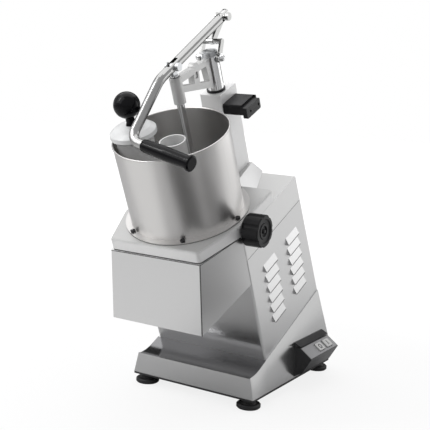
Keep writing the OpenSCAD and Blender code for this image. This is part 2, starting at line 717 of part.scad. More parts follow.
// Feed tubes and pestle
tube_wall = 1.5;
tube_lip = 1;
tube_foot = 4;
module feed_tube(r) difference() {
    union() {
        disc(r, -lid_t, tube_h);
        disc(r + tube_lip, tube_h - 2 * tube_lip, tube_h);
        disc(r + tube_foot, 0, gasket_t);
    }
    disc(r - tube_wall, -lid_t - cut, tube_h + cut);
}
module wide_feed_tube() color("#b5b6b6") head() translate(wide_at) feed_tube(wide_r);
module narrow_feed_tube() color("#b5b6b6") head() translate(narrow_at) feed_tube(narrow_r);
pestle_gap = 1.2;
pestle_r = wide_r - tube_wall - pestle_gap;
pestle_low = -12;
cap_rad = 42.5;
cap_low = tube_h + gap;
cap_edge = 9;
cap_tall = 24;
cap_top = cap_low + cap_tall;
cap_dome = 5;
pestle_flutes = 6;
flute_r = 5;
neck_r = 8;
neck_h = 16;
neck_foot = 2;
neck_top = cap_top + neck_h;
module pestle() color("#eceeec") head() translate(wide_at) difference() {
    union() {
        disc(pestle_r, pestle_low, cap_low + cut);
        rotate_extrude() {
            polygon([[0, cap_low], [cap_rad - cap_edge / 2, cap_low], [cap_rad, cap_low + cap_edge / 2],
                [cap_rad, cap_top - cap_edge - cap_dome / 2], [cap_rad - cap_edge / 3, cap_top - cap_edge],
                [cap_rad - cap_edge, cap_top - cap_dome], [cap_rad / 2, cap_top - cap_dome / 4], [neck_r, cap_top], [0, cap_top]]);
        }
    }
    for (i = [0 : pestle_flutes - 1]) rotate(360 * i / pestle_flutes) translate([pestle_r + flute_r / 2, 0, 0])
        disc(flute_r, pestle_low - cut, tube_h - 2 * cap_edge);
}
ball_r = 24;
ball_sink = 3;
ball_z = neck_top + ball_r - ball_sink;
module pestle_knob() color("#121214") head() translate(wide_at) {
    translate([0, 0, ball_z]) sphere(r = ball_r);
    rotate_extrude() polygon([[0, cap_top], [neck_r + neck_foot, cap_top], [neck_r, cap_top + cap_dome],
        [neck_r, neck_top], [neck_r + neck_foot, ball_z - ball_r / 2], [0, ball_z]]);
}

// Column and post
column_half = 22.3;
column_front = 144;
column_back = 206;
column_lean = 6;
column_corner = 3;
column_screw_y = [158, 186];
column_screw_r = 4;
column_head_r = 7;
column_head_h = 6;
module column() color("#e6e6e4") head() difference() {
    intersection() {
        along_x(-column_half, column_half) polygon([[column_front - column_lean, tail_top], [column_back, tail_top],
            [column_back, column_h], [column_front, column_h]]);
        plate(rounded([[-column_half, column_front - 2 * column_lean], [column_half, column_front - 2 * column_lean],
            [column_half, column_back], [-column_half, column_back]], column_corner), tail_top - cut, column_h + cut);
    }
    for (y = column_screw_y) translate([0, y, 0]) disc(column_screw_r, tail_top - cut, tail_top + 5 * column_screw_r);
}
module column_screws() color("#8d8e90") head() for (y = column_screw_y) translate([0, y, 0]) {
    disc(column_screw_r, -lid_t + cut, tail_top + 4 * column_screw_r);
    disc(column_head_r, -lid_t, -lid_t + column_head_h);
}
ring_t = 4;
ring_out = 2;
post_over = 79;
post_top = hopper_h + post_over;
module at_post() translate([0, post_y, 0]) children();
module post() color("#d4d6d8") head() at_post() disc(post_r, column_h, post_top);
module post_ring() color("#131314") head() at_post() ring(post_r + ring_out, post_r, column_h, column_h + ring_t);
boss_r = 9;
bolt_r = 4;
leg_in = 17.6;
leg_t = 4;
nut_r = 8.5;
nut_h = 6;
pin_head_r = 7.5;
cap_h = 8;
cap_step = 1;
module post_cap() color("#6b6d70") head() at_post() difference() {
    union() {
        disc(post_r - cap_step, post_top, post_top + cap_h);
        disc(post_r - ring_out * 2, post_top, post_top + cap_h + cap_step);
        intersection() {
            translate([0, 0, link_z]) rod_x(-leg_in + gap, leg_in - gap, boss_r);
            union() {
                disc(leg_in, post_top, post_top + cap_h);
                ring(leg_in, post_r, link_z - boss_r, post_top);
            }
        }
    }
    translate([0, 0, link_z]) rod_x(-leg_in, leg_in, bolt_r);
}
module link_bolts() color("#a4a7aa") head() at_post() translate([0, 0, link_z]) for (s = [0, 1]) mirror([s, 0, 0]) {
    rod_x(post_r, leg_in + leg_t + gap + nut_h / 2, bolt_r);
    rod_x(leg_in + leg_t + gap, leg_in + leg_t + gap + nut_h / 3, nut_r);
    translate([leg_in + leg_t + gap + nut_h / 3, 0, 0]) intersection() {
        sphere(r = nut_h + cap_step);
        rod_x(0, nut_h + cap_step, nut_r);
    }
}

// Guide bracket, cast between the post and the rod sleeve
sleeve_r = 11;
sleeve_over = [38, 88];
sleeve_low = hopper_h + sleeve_over[0];
sleeve_top = hopper_h + sleeve_over[1];
bush_r = 9;
bush_len = 14;
arm_half = 6.5;
arm_w = 12;
web_y = 107;
web_w = 18;
saddle_y = 145;
upper_arm_over = [80, 74];
lower_arm_over = [64, 23];
upper_arm = [for (z = upper_arm_over) hopper_h + z];
lower_arm = [for (z = lower_arm_over) hopper_h + z];
web_t = 5;
module guide_bracket() color("#c7c8c6") head() difference() {
    union() {
        along_x(-arm_half, arm_half) {
            bar([rod_y, upper_arm[0]], [post_y, upper_arm[1]], arm_w);
            bar([rod_y, lower_arm[0]], [post_y, lower_arm[1]], arm_w);
            bar([web_y, upper_arm[0]], [web_y - web_t, lower_arm[0] - arm_w], web_w);
            bar([saddle_y, upper_arm[1]], [saddle_y + web_t, lower_arm[1] + web_t], arm_w);
        }
        translate([0, rod_y, 0]) disc(sleeve_r, sleeve_low, sleeve_top);
    }
    translate([0, rod_y, 0]) disc(bush_r, sleeve_low - cut, sleeve_top + cut);
    at_post() disc(post_r, column_h, post_top + cap_h + 2 * cut);
    at_post() disc(2 * post_r, post_top - cut, post_top + 2 * cap_h);
    for (s = [-1, 1]) translate([s * arm_half, web_y - web_t / 2, (upper_arm[0] + lower_arm[0]) / 2 - web_t])
        cube([web_t, web_w / 2, arm_w], center = true);
}
module guide_bushes() color("#2b2c2e") head() translate([0, rod_y, 0]) {
    ring(bush_r, rod_r + fit, sleeve_low, sleeve_low + bush_len);
    ring(bush_r, rod_r + fit, sleeve_top - bush_len, sleeve_top);
}

// Pusher
rod_out = 3;
rod_top = sleeve_top + rod_out;
plate_low = -19;
plate_t = 6;
plate_rim_h = 20;
rib_t = 4;
plate_gap = 1.5;
plate_hub_r = 15;
plate_hub_h = 30;
pin_r = 4;
eye_t = 6;
eye_r = 6.5;
module pusher_rod() color("#8f9396") head() translate([0, rod_y, 0]) disc(rod_r, plate_low + plate_t, rod_top);
module rod_eye() color("#8f9396") head() difference() {
    along_x(-eye_t / 2, eye_t / 2) {
        translate([rod_y, lever_z]) circle(r = eye_r);
        translate([rod_y - eye_r, rod_top]) square([2 * eye_r, lever_z - rod_top]);
    }
    translate([0, rod_y, lever_z]) rod_x(-eye_t, eye_t, pin_r + fit);
}
ribs = 5;
module pusher_plate() color("#c9cbca") head() difference() {
    union() {
        half_moon(moon_r - plate_gap, moon_y + plate_gap, plate_low, plate_low + plate_t);
        difference() {
            half_moon(moon_r - plate_gap, moon_y + plate_gap, plate_low, plate_low + plate_rim_h);
            half_moon(moon_r - plate_gap - rib_t, moon_y + plate_gap + rib_t, plate_low + plate_t, plate_low + plate_rim_h + cut);
        }
        intersection() {
            half_moon(moon_r - plate_gap, moon_y + plate_gap, plate_low, plate_low + plate_rim_h - rib_t);
            translate([0, rod_y, plate_low]) for (i = [0 : ribs - 1]) rotate(180 * i / (ribs - 1))
                translate([0, -rib_t / 2, 0]) cube([moon_r, rib_t, plate_rim_h]);
        }
        translate([0, rod_y, 0]) disc(plate_hub_r, plate_low, plate_low + plate_hub_h);
    }
    translate([0, rod_y, 0]) disc(rod_r, plate_low + plate_t, plate_low + plate_hub_h + cut);
}
pusher_nut_h = 8;
pusher_nut_r = 13;
module pusher_nut() color("#a4a7aa") head() translate([0, rod_y, plate_low + plate_hub_h]) difference() {
    cylinder(r = pusher_nut_r, h = pusher_nut_h, $fn = 6);
    translate([0, 0, -cut]) cylinder(r = rod_r, h = pusher_nut_h + 2 * cut);
}

// Rear link and lever
// Places of the rear pin and of the arch, from the post axis and the hopper rim
rear_pin_from = [66, 130];
arch_from = [18, 99.6];
rear_pin = [post_y, hopper_h] + rear_pin_from;
arch = [post_y, hopper_h] + arch_from;
arch_r = 5;
arch_w = 11;
stem_w = 12;
stem_t = 6;
slot_play = 1.6;
slot_r = pin_r + slot_play;
slot_back = 13;
slot_fore = 10;
module link_yoke() color("#cfd1d2") head() {
    difference() {
        for (s = [0, 1]) mirror([s, 0, 0]) along_x(leg_in, leg_in + leg_t) {
            bar([post_y, link_z], arch, arch_w);
            translate([post_y, link_z]) circle(r = boss_r);
        }
        translate([0, post_y, link_z]) rod_x(-leg_in - leg_t - cut, leg_in + leg_t + cut, bolt_r + fit);
    }
    translate([0, arch.x, arch.y]) rod_x(-leg_in - leg_t / 2, leg_in + leg_t / 2, arch_r);
    along_x(-stem_t / 2, stem_t / 2) bar(arch, rear_pin, stem_w);
    translate([0, rear_pin.x, rear_pin.y]) {
        rod_x(-lever_r - 2 * gap, lever_r + 2 * gap, pin_r);
        rod_x(lever_r + 2 * gap, lever_r + 2 * gap + nut_h, pin_head_r);
        rod_x(-lever_r - 2 * gap - nut_h / 2, -lever_r - 2 * gap, pin_head_r);
    }
}
lever_wall = 1.8;
lever_tail = 14;
lever_dir = unit([rear_pin.x - rod_y, rear_pin.y - lever_z]);
lever_len = norm([rear_pin.x - rod_y, rear_pin.y - lever_z]);
lever_pitch = atan2(lever_dir.y, lever_dir.x);
bend_fore = 46.5;
elbow = [0, rod_y - bend_fore * lever_dir.x, lever_z - bend_fore * lever_dir.y];
hand_from = [-18, -91, 31];
grip_end_from = [110, -113.5, 12.5];
hand = [0, 0, hopper_h] + hand_from;
grip_end = [0, 0, hopper_h] + grip_end_from;
elbow_steps = 7;
hand_steps = 9;
tube_sides = 24;
elbow_r = 40;
hand_r = 22;
lever_front = [0, rod_y - lever_r * 2 * lever_dir.x, lever_z - lever_r * 2 * lever_dir.y];
slot_gap = 2;
slot_w = eye_t + slot_gap;
eye_slot = 16;
stem_slot = 56;
// Frame with its X along the lever, from the front pin to the rear one
module on_lever() translate([0, rod_y, lever_z]) rotate([lever_pitch, 0, 0]) rotate([0, 0, 90]) children();
module lever_arm() color("#d9dadb") head() {
    on_lever() difference() {
        translate([-2 * lever_r - cut, 0, 0]) rod_x(0, 2 * lever_r + cut + lever_len + lever_tail, lever_r);
        rod_x(-eye_slot, lever_len + lever_tail + cut, lever_r - lever_wall);
        translate([-eye_slot, -slot_w / 2, -lever_r - cut]) cube([2 * eye_slot, slot_w, 2 * (lever_r + cut)]);
        translate([lever_len - stem_slot, -slot_w / 2, -lever_r - cut]) cube([stem_slot + lever_tail + cut, slot_w, lever_r + cut]);
        translate([lever_len - eye_slot, -slot_w / 2, 0]) cube([eye_slot + slot_back, slot_w, lever_r + cut]);
        translate([0, lever_r + cut, 0]) rotate([90, 0, 0]) {
            cylinder(r = pin_r, h = 2 * (lever_r + cut));
            translate([lever_len, 0, 0]) linear_extrude(2 * (lever_r + cut))
                bar([-slot_fore, 0], [slot_back + lever_tail, 0], 2 * slot_r);
        }
    }
    sweep(concat([lever_front], arc_at(lever_front, elbow, hand, elbow_r, elbow_steps),
        arc_at(elbow, hand, grip_end, hand_r, hand_steps), [grip_end]), lever_r - fit, tube_sides);
}
module lever_pin() color("#a4a7aa") head() translate([0, rod_y, lever_z]) {
    rod_x(-lever_r, lever_r, pin_r);
    rod_x(lever_r, lever_r + nut_h, pin_head_r);
    rod_x(-lever_r - nut_h / 2, -lever_r, pin_head_r);
}
grip_len = 100;
grip_r = 12.5;
grip_nose = 10.5;
grip_edge = 1;
grip_cap_r = 14;
grip_cap_t = 7;
grip_axis = unit(grip_end - hand);
// Frame with its Z along the handle, its origin at the outer end of the tube
module on_grip() translate(grip_end) rotate([0, acos(grip_axis.z), atan2(grip_axis.y, grip_axis.x)]) children();
module lever_grip() color("#17171a") head() on_grip() difference() {
    rotate_extrude() polygon([[0, -grip_len], [grip_nose, -grip_len], [grip_r - grip_edge, -grip_len + grip_nose / 2],
        [grip_r, -grip_len / 2], [grip_r - grip_edge, -grip_nose / 2], [grip_r - grip_edge, 0], [0, 0]]);
    translate([0, 0, -grip_len - cut]) cylinder(r = lever_r + fit, h = grip_len + 2 * cut);
}
module grip_cap() color("#26272a") head() on_grip() rotate_extrude() polygon([[0, 0], [grip_cap_r - grip_edge, 0],
    [grip_cap_r, grip_edge], [grip_cap_r, grip_cap_t - 2 * grip_edge], [grip_cap_r - cap_edge / 3, grip_cap_t],
    [0, grip_cap_t]]);

// Switch box on the right of the column
switch_len = 44;
switch_y0 = 146;
switch_y1 = 199;
switch_z0 = 130;
switch_z1 = 151;
switch_edge = 3;
plug_len = 9;
plug_inset = 4;
plug_r = 2.5;
module switch_box() color("#2e2f31") head() difference() {
    union() {
        along_x(column_half, column_half + switch_len) polygon(rounded([[switch_y0, switch_z0], [switch_y1, switch_z0],
            [switch_y1, switch_z1], [switch_y0, switch_z1]], switch_edge));
        along_x(column_half + switch_len, column_half + switch_len + plug_len) polygon(rounded([[switch_y0 - plug_inset, switch_z0 - plug_inset],
            [switch_y1 - plug_inset, switch_z0 - plug_inset], [switch_y1 - plug_inset, switch_z1 - plug_inset],
            [switch_y0 - plug_inset, switch_z1 - plug_inset]], switch_edge));
    }
    for (y = [switch_y0 + switch_len / 4, switch_y1 - switch_len / 4]) translate([0, y, (switch_z0 + switch_z1) / 2 - plug_inset])
        rod_x(column_half + switch_len + plug_len / 2, column_half + switch_len + plug_len + cut, plug_r);
    translate([column_half + switch_len - plug_inset, switch_y0 - plug_inset - cut, switch_z1 - plug_inset])
        cube([plug_inset, switch_y1 - switch_y0 + 2 * cut, plug_inset + cut]);
}

// Hinges on the left of the lid
hinge_out = 8;
hinge_x = -body_half - hinge_out;
hinge_r = 6.5;
hinge_pin_r = 3;
hinge_y = [2, 86];
knuckle = 10;
side_knuckle = 12;
leaf_t = 3.5;
leaf_h = 24;
module at_hinges() for (y = hinge_y) translate([hinge_x, y, -lid_t]) children();
module knuckle_y(y0, y1, r) translate([0, y1, 0]) rotate([90, 0, 0]) cylinder(r = r, h = y1 - y0);
leaf_in = -hinge_x - body_half;
module hinge_brackets() color("#b9bbbc") head() at_hinges() difference() {
    union() {
        for (s = [0, 1]) mirror([0, s, 0]) {
            knuckle_y(knuckle + gap, knuckle + side_knuckle, hinge_r);
            translate([0, knuckle + gap, -leaf_h]) cube([leaf_in, side_knuckle - gap, leaf_h - leaf_t]);
        }
        translate([leaf_in - leaf_t, -knuckle - side_knuckle, -leaf_h]) cube([leaf_t, 2 * (knuckle + side_knuckle), leaf_h - hinge_r - leaf_t]);
    }
    knuckle_y(-knuckle - side_knuckle - cut, knuckle + side_knuckle + cut, hinge_pin_r);
}
module lid_hinges() color("#b9bbbc") head() at_hinges() difference() {
    union() {
        knuckle_y(-knuckle, knuckle, hinge_r);
        translate([0, -knuckle, 0]) cube([leaf_in, 2 * knuckle, hinge_r]);
        translate([leaf_in - leaf_t, -knuckle, gap]) cube([leaf_t, 2 * knuckle, lid_t - lid_edge_r - gap]);
    }
    knuckle_y(-knuckle - cut, knuckle + cut, hinge_pin_r + fit);
}
module hinge_pins() color("#8d8e90") head() at_hinges() {
    knuckle_y(-knuckle - side_knuckle - cut, knuckle + side_knuckle + cut, hinge_pin_r);
}

// Lock on the right of the lid
knob_gap = 3;
knob_x0 = body_half + knob_gap;
knob_len = 37;
knob_r = 30;
stud_end = knob_x0 + knob_len / 2;
collar_r = 9;
module at_lock() translate([0, lock_y, lock_z]) children();
module lock_stud() color("#9a9da0") head() {
    at_lock() {
        rod_x(lug_x0, stud_end, stud_r);
        rod_x(body_half + gap, knob_x0 - gap, collar_r);
    }
    translate([lug_x0, lock_y - lug_half, chamber_top]) cube([lug_t, 2 * lug_half, lug_top - chamber_top]);
}
lobes = 7;
lobe_r = 7;
knob_edge = 2;
knob_face = 5;
// Face of the knob from its rim to its centre, as shares of the knob radius and of the face depth
face_shares = [[0.93, 1], [0.76, 1], [0.70, 0.55], [0.50, 0.45], [0.47, 0.7], [0.34, 0.7], [0.30, 0.2], [0.16, 0.2],
    [0.10, 0.9], [0, 1]];
module lock_knob() color("#17171a") head() at_lock() difference() {
    translate([knob_x0, 0, 0]) rotate([0, 90, 0]) rotate_extrude() polygon(concat([[0, 0], [knob_r / 2, 0],
        [knob_r - knob_edge, knob_face / 2], [knob_r, knob_face], [knob_r, knob_len - knob_edge]],
        [for (s = face_shares) [knob_r * s[0], knob_len + knob_face * (s[1] - 1)]]));
    for (i = [1 : lobes]) rotate([360 * (i - 1 / 3) / lobes, 0, 0]) translate([0, knob_r + lobe_r / 2, 0])
        rod_x(knob_x0 + knob_face, knob_x0 + knob_len + cut, lobe_r);
    rod_x(knob_x0 - cut, stud_end + cut, stud_r + fit);
}

// Control box on the right of the base, drawn as a section of (X, Z) points
panel_y0 = 1.5;
panel_y1 = 134.5;
// Corners of the box from its upper one down, out from the base edge and up from it
box_out = [9, 36, 18, 1];
box_up = [64, 45, 14, 3];
box_in = 18;
box_x = [for (x = box_out) base_half + x];
box_z = [for (z = box_up) foot_h + z];
box_root = base_half - box_in;
ledge_up = 10;
ledge_in = 13;
ledge_t = 3;
ledge_out = 1;
slot_in = 8;
slot_h = 2.5;
box_pts_xz = [[box_root, box_z[3]], [box_x[3], box_z[3]], [box_x[2], box_z[2]], [box_x[1], box_z[1]], [box_x[0], box_z[0]],
    [box_x[0] - slot_in, box_z[0]], [box_x[0] - slot_in, box_z[0] + slot_h], [box_x[0] + ledge_out, box_z[0] + slot_h],
    [box_x[0] + ledge_out, box_z[0] + ledge_t], [box_x[0] - ledge_in, box_z[0] + ledge_up], [box_root, box_z[0] + ledge_up]];
face_a = [box_x[1], box_z[1]];
face_b = [box_x[0], box_z[0]];
face_len = norm(face_b - face_a);
face_turn = atan2(face_b.y - face_a.y, face_b.x - face_a.x);
// Frame on the sloping face: X up the face, Y along the box, Z out of the face
module on_face(y) translate([face_a.x, y, face_a.y]) rotate([0, -face_turn, 0]) mirror([0, 0, 1]) translate([face_len / 2, 0, 0]) children();
button_half_x = 9;
button_half_y = 13;
button_r = 3;
button_out = 3;
button_in = 8;
button_travel = 3;
button_flange = 2;
button_shares = [0.496, 0.767];
button_y = [for (s = button_shares) panel_y0 + s * (panel_y1 - panel_y0)];
module button_pocket(t) {
    plate(rounded(box_pts(button_half_x + t, button_half_y + t), button_r + t), -button_in, cut);
    plate(box_pts(button_half_x + button_flange + t, button_half_y + button_flange + t),
        -button_in - button_travel - cut, -button_in + button_flange + t);
}
module control_box() color("#3a3b3d") difference() {
    translate([0, panel_y1, 0]) rotate([90, 0, 0]) linear_extrude(panel_y1 - panel_y0) polygon(box_pts_xz);
    base_solid(0, foot_h);
    for (y = button_y) on_face(y) button_pocket(2 * gap);
}
module button(y) on_face(y) {
    plate(rounded(box_pts(button_half_x, button_half_y), button_r), -button_in, button_out);
    plate(box_pts(button_half_x + button_flange, button_half_y + button_flange), -button_in, -button_in + button_flange);
}
module start_button() color("#d4d5d3") button(button_y[1]);
module stop_button() color("#d4d5d3") button(button_y[0]);

base_shell();
bottom_plate();
edge_trim();
rubber_feet();
foot_screws();
motor_housing();
rear_cover();
cover_screws();
cutting_chamber();
chute_hood();
belt_guard();
motor_plate();
motor_body();
motor_rotor();
motor_pulley();
motor_fan();
drive_belt();
disc_pulley();
spindle();
spindle_bearings();
ejector();
slicing_disc();
disc_blades();
capacitor();
control_board();
cable_gland();
lid();
lid_gasket();
hopper();
hopper_screws();
wide_feed_tube();
narrow_feed_tube();
pestle();
pestle_knob();
column();
column_screws();
post();
post_ring();
post_cap();
link_bolts();
guide_bracket();
guide_bushes();
pusher_rod();
rod_eye();
pusher_plate();
pusher_nut();
link_yoke();
lever_arm();
lever_pin();
lever_grip();
grip_cap();
switch_box();
hinge_brackets();
lid_hinges();
hinge_pins();
lock_stud();
lock_knob();
control_box();
start_button();
stop_button();
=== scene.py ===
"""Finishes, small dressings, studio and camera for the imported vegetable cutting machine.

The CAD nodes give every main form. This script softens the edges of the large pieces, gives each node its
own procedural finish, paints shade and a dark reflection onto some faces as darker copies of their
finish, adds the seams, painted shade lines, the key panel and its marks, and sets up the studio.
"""

import json
import logging
import math
from dataclasses import dataclass, field
from enum import Enum
from typing import ClassVar

import bmesh
import bpy
from mathutils import Euler, Matrix, Vector

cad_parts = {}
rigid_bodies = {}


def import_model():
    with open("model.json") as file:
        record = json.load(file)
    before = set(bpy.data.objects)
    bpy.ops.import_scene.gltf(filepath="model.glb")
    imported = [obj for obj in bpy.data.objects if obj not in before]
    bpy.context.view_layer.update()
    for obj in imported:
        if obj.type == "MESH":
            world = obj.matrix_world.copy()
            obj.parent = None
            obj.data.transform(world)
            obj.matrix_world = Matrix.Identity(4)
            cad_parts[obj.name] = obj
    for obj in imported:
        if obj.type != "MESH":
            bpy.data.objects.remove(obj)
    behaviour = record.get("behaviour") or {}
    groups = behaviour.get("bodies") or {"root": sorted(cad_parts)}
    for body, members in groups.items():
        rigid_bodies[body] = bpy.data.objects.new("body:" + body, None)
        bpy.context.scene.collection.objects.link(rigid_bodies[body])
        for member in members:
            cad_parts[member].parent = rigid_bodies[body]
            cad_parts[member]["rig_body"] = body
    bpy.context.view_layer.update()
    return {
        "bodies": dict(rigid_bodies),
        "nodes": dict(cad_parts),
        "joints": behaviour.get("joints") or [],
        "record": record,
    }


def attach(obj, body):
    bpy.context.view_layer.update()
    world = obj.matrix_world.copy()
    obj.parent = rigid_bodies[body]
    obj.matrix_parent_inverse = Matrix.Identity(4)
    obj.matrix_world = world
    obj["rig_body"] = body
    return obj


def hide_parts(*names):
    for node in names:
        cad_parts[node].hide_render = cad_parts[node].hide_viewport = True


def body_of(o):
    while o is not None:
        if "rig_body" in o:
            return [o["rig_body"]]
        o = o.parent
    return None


log = logging.getLogger("machine")

MM = 0.001
TILT = math.radians(25)
HEAD_ORIGIN = (0.0, -215.5, 372.0)


class Axes(Enum):
    """Which frame a grain follows: the stand's own, or the tilted head's."""

    STAND = 0.0
    HEAD = TILT


class Grain(Enum):
    """Direction of a surface's fine lines, as how much a noise is squeezed along X, Y and Z."""

    UP = (1.0, 1.0, 0.018)
    ACROSS = (0.018, 0.018, 1.0)
    EVEN = (1.0, 1.0, 1.0)


class KeyMark(Enum):
    """Marks on the two keys: a ring for stop and a bar for start."""

    RING = "ring"
    BAR = "bar"


class Sum:
    """A shader value that can be used in plain arithmetic."""

    def __init__(self, book: "NodeBook", socket: bpy.types.NodeSocket) -> None:
        """Keeps the socket and the book that makes its nodes.

        Args:
            book: The maker of nodes for one tree.
            socket: The output that holds the value.
        """
        self.book = book
        self.socket = socket

    def _op(self, operation: str, left: object, right: object, clamp: bool = False) -> "Sum":
        """Adds one Math node.

        Args:
            operation: The node's operation.
            left: Its first value or link.
            right: Its second value or link.
            clamp: Whether the result is kept between 0 and 1.

        Returns:
            The node's value.
        """
        settings = {"operation": operation, "use_clamp": clamp}
        return self.book.node("ShaderNodeMath", settings, {0: left, 1: right})

    def __add__(self, other: object) -> "Sum":
        """Adds a value."""
        return self._op("ADD", self, other)

    def __sub__(self, other: object) -> "Sum":
        """Takes a value away."""
        return self._op("SUBTRACT", self, other)

    def __rsub__(self, other: object) -> "Sum":
        """Takes this away from a value."""
        return self._op("SUBTRACT", other, self)

    def __mul__(self, other: object) -> "Sum":
        """Multiplies by a value."""
        return self._op("MULTIPLY", self, other)

    __radd__ = __add__
    __rmul__ = __mul__

    def held(self) -> "Sum":
        """Keeps the value between 0 and 1."""
        return self._op("ADD", self, 0.0, clamp=True)


class NodeBook:
    """Makes the nodes of one material or of the world."""

    def __init__(self, owner: bpy.types.Material | bpy.types.World) -> None:
        """Empties the owner's tree.

        Args:
            owner: The material or world to fill.
        """
        owner.use_nodes = True
        self.tree = owner.node_tree
        self.tree.nodes.clear()

    def node(self, kind: str, settings: dict[str, object], inputs: dict[object, object],
             output: object = 0) -> Sum:
        """Makes one node.

        Args:
            kind: Blender's name of the node type.
            settings: Attributes that are set before the sockets.
            inputs: Values or links, by socket name or number.
            output: Name or number of the socket to return.

        Returns:
            The chosen output.
        """
        made = self.tree.nodes.new(kind)
        for name, value in settings.items():
            setattr(made, name, value)
        for name, value in inputs.items():
            socket = made.inputs[name]
            if isinstance(value, Sum):
                self.tree.links.new(value.socket, socket)
            else:
                socket.default_value = value
        return Sum(self, made.outputs[output])

    def close(self, shader: Sum, kind: str = "ShaderNodeOutputMaterial") -> None:
        """Links a shader to the tree's output.

        Args:
            shader: The finished shader.
            kind: Blender's name of the output node.
        """
        out = self.tree.nodes.new(kind)
        self.tree.links.new(shader.socket, out.inputs["Surface"])

    def blend(self, share: object, low: object, high: object) -> Sum:
        """Mixes two colours.

        Args:
            share: How much of the second colour shows.
            low: The first colour.
            high: The second colour.

        Returns:
            The mixed colour.
        """
        return self.node("ShaderNodeMix", {"data_type": "RGBA"}, {0: share, 6: low, 7: high}, 2)

    def noise(self, place: Sum, scale: float, detail: float = 3.0, rough: float = 0.5) -> Sum:
        """Makes a noise value round one half.

        Args:
            place: The coordinates.
            scale: Scale of the noise, per metre.
            detail: Number of finer layers.
            rough: How strong the finer layers are.

        Returns:
            The noise value.
        """
        inputs = {"Vector": place, "Scale": scale, "Detail": detail, "Roughness": rough}
        return self.node("ShaderNodeTexNoise", {}, inputs, "Fac")

    def ramp(self, value: Sum, low: float, high: float) -> Sum:
        """Turns a value into a mask.

        Args:
            value: The value.
            low: Where the mask starts to rise from 0.
            high: Where it reaches 1.

        Returns:
            The mask.
        """
        inputs = {"Value": value, "From Min": low, "From Max": high}
        return self.node("ShaderNodeMapRange", {"clamp": True}, inputs, "Result")


@dataclass(frozen=True)
class Finish:
    """One surface finish. Scales of noise are per metre."""

    name: str
    colour: tuple[float, float, float]
    metal: float
    rough: float
    grain: Grain = Grain.EVEN
    axes: Axes = Axes.HEAD
    fine: float = 900.0
    bump: float = 0.15
    rough_swing: float = 0.10
    tone_swing: float = 0.06
    wear: float = 0.25
    coat: float = 0.0
    shine: float = 0.5

    dark_share: ClassVar[float] = 0.72
    light_share: ClassVar[float] = 1.28
    worn_share: ClassVar[float] = 0.80
    worn_lift: ClassVar[float] = 0.05
    worn_cover: ClassVar[float] = 0.5
    worn_rough: ClassVar[float] = 0.18
    bump_depth: ClassVar[float] = 0.0004
    coat_rough: ClassVar[float] = 0.08
    fine_detail: ClassVar[float] = 4.0
    fine_layers: ClassVar[float] = 0.65
    blotch_scale: ClassVar[float] = 9.0
    blotch_tone: ClassVar[float] = 0.7
    blotch_rough: ClassVar[float] = 1.5
    speck_scale: ClassVar[float] = 140.0
    speck_detail: ClassVar[float] = 2.0
    speck_layers: ClassVar[float] = 0.7
    speck_from: ClassVar[float] = 0.66
    speck_full: ClassVar[float] = 0.74

    def material(self) -> bpy.types.Material:
        """Builds the material: fine grain, soft blotches, wear specks and a bump.

        Returns:
            The material.
        """
        made = bpy.data.materials.new(self.name)
        book = NodeBook(made)
        place = book.node("ShaderNodeTexCoord", {}, {}, "Object")
        turn = {"Vector": place, "Rotation": (self.axes.value, 0.0, 0.0)}
        level = book.node("ShaderNodeMapping", {"vector_type": "TEXTURE"}, turn)
        lines = book.node("ShaderNodeMapping", {}, {"Vector": level, "Scale": self.grain.value})
        fine = book.noise(lines, self.fine, self.fine_detail, self.fine_layers)
        blotch = book.noise(level, self.blotch_scale)
        speck = book.noise(level, self.speck_scale, self.speck_detail, self.speck_layers)
        marks = book.ramp(speck, self.speck_from, self.speck_full) * self.wear
        blotch_swing = self.tone_swing * self.blotch_tone
        tone = (fine - 0.5) * self.tone_swing + (blotch - 0.5) * blotch_swing + 0.5
        darker = tuple(c * self.dark_share for c in self.colour) + (1.0,)
        lighter = tuple(min(1.0, c * self.light_share) for c in self.colour) + (1.0,)
        colour = book.blend(tone.held(), darker, lighter)
        worn = tuple(c * self.worn_share + self.worn_lift for c in self.colour) + (1.0,)
        blotch_swing = self.rough_swing * self.blotch_rough
        uneven = (fine - 0.5) * self.rough_swing + (blotch - 0.5) * blotch_swing
        rough = (uneven + marks * self.worn_rough + self.rough).held()
        relief = {"Strength": self.bump, "Distance": self.bump_depth, "Height": fine}
        shader = book.node("ShaderNodeBsdfPrincipled", {}, {
            "Base Color": book.blend(marks * self.worn_cover, colour, worn),
            "Metallic": self.metal,
            "Roughness": rough,
            "Normal": book.node("ShaderNodeBump", {}, relief),
            "Coat Weight": self.coat,
            "Coat Roughness": self.coat_rough,
            "Specular IOR Level": self.shine,
        })
        book.close(shader)
        return made


# Sheet steel and bars, and the deck's painted dark reflection
SHEET = Finish("satin sheet steel", (0.62, 0.62, 0.62), 0.95, 0.30, Grain.UP, fine=2200, bump=0.03,
               rough_swing=0.05, tone_swing=0.05)
SHEET_LOW = Finish("satin deck steel", (0.60, 0.60, 0.60), 0.96, 0.20, Grain.ACROSS, Axes.STAND, 1800,
                   0.02, rough_swing=0.04, tone_swing=0.04)
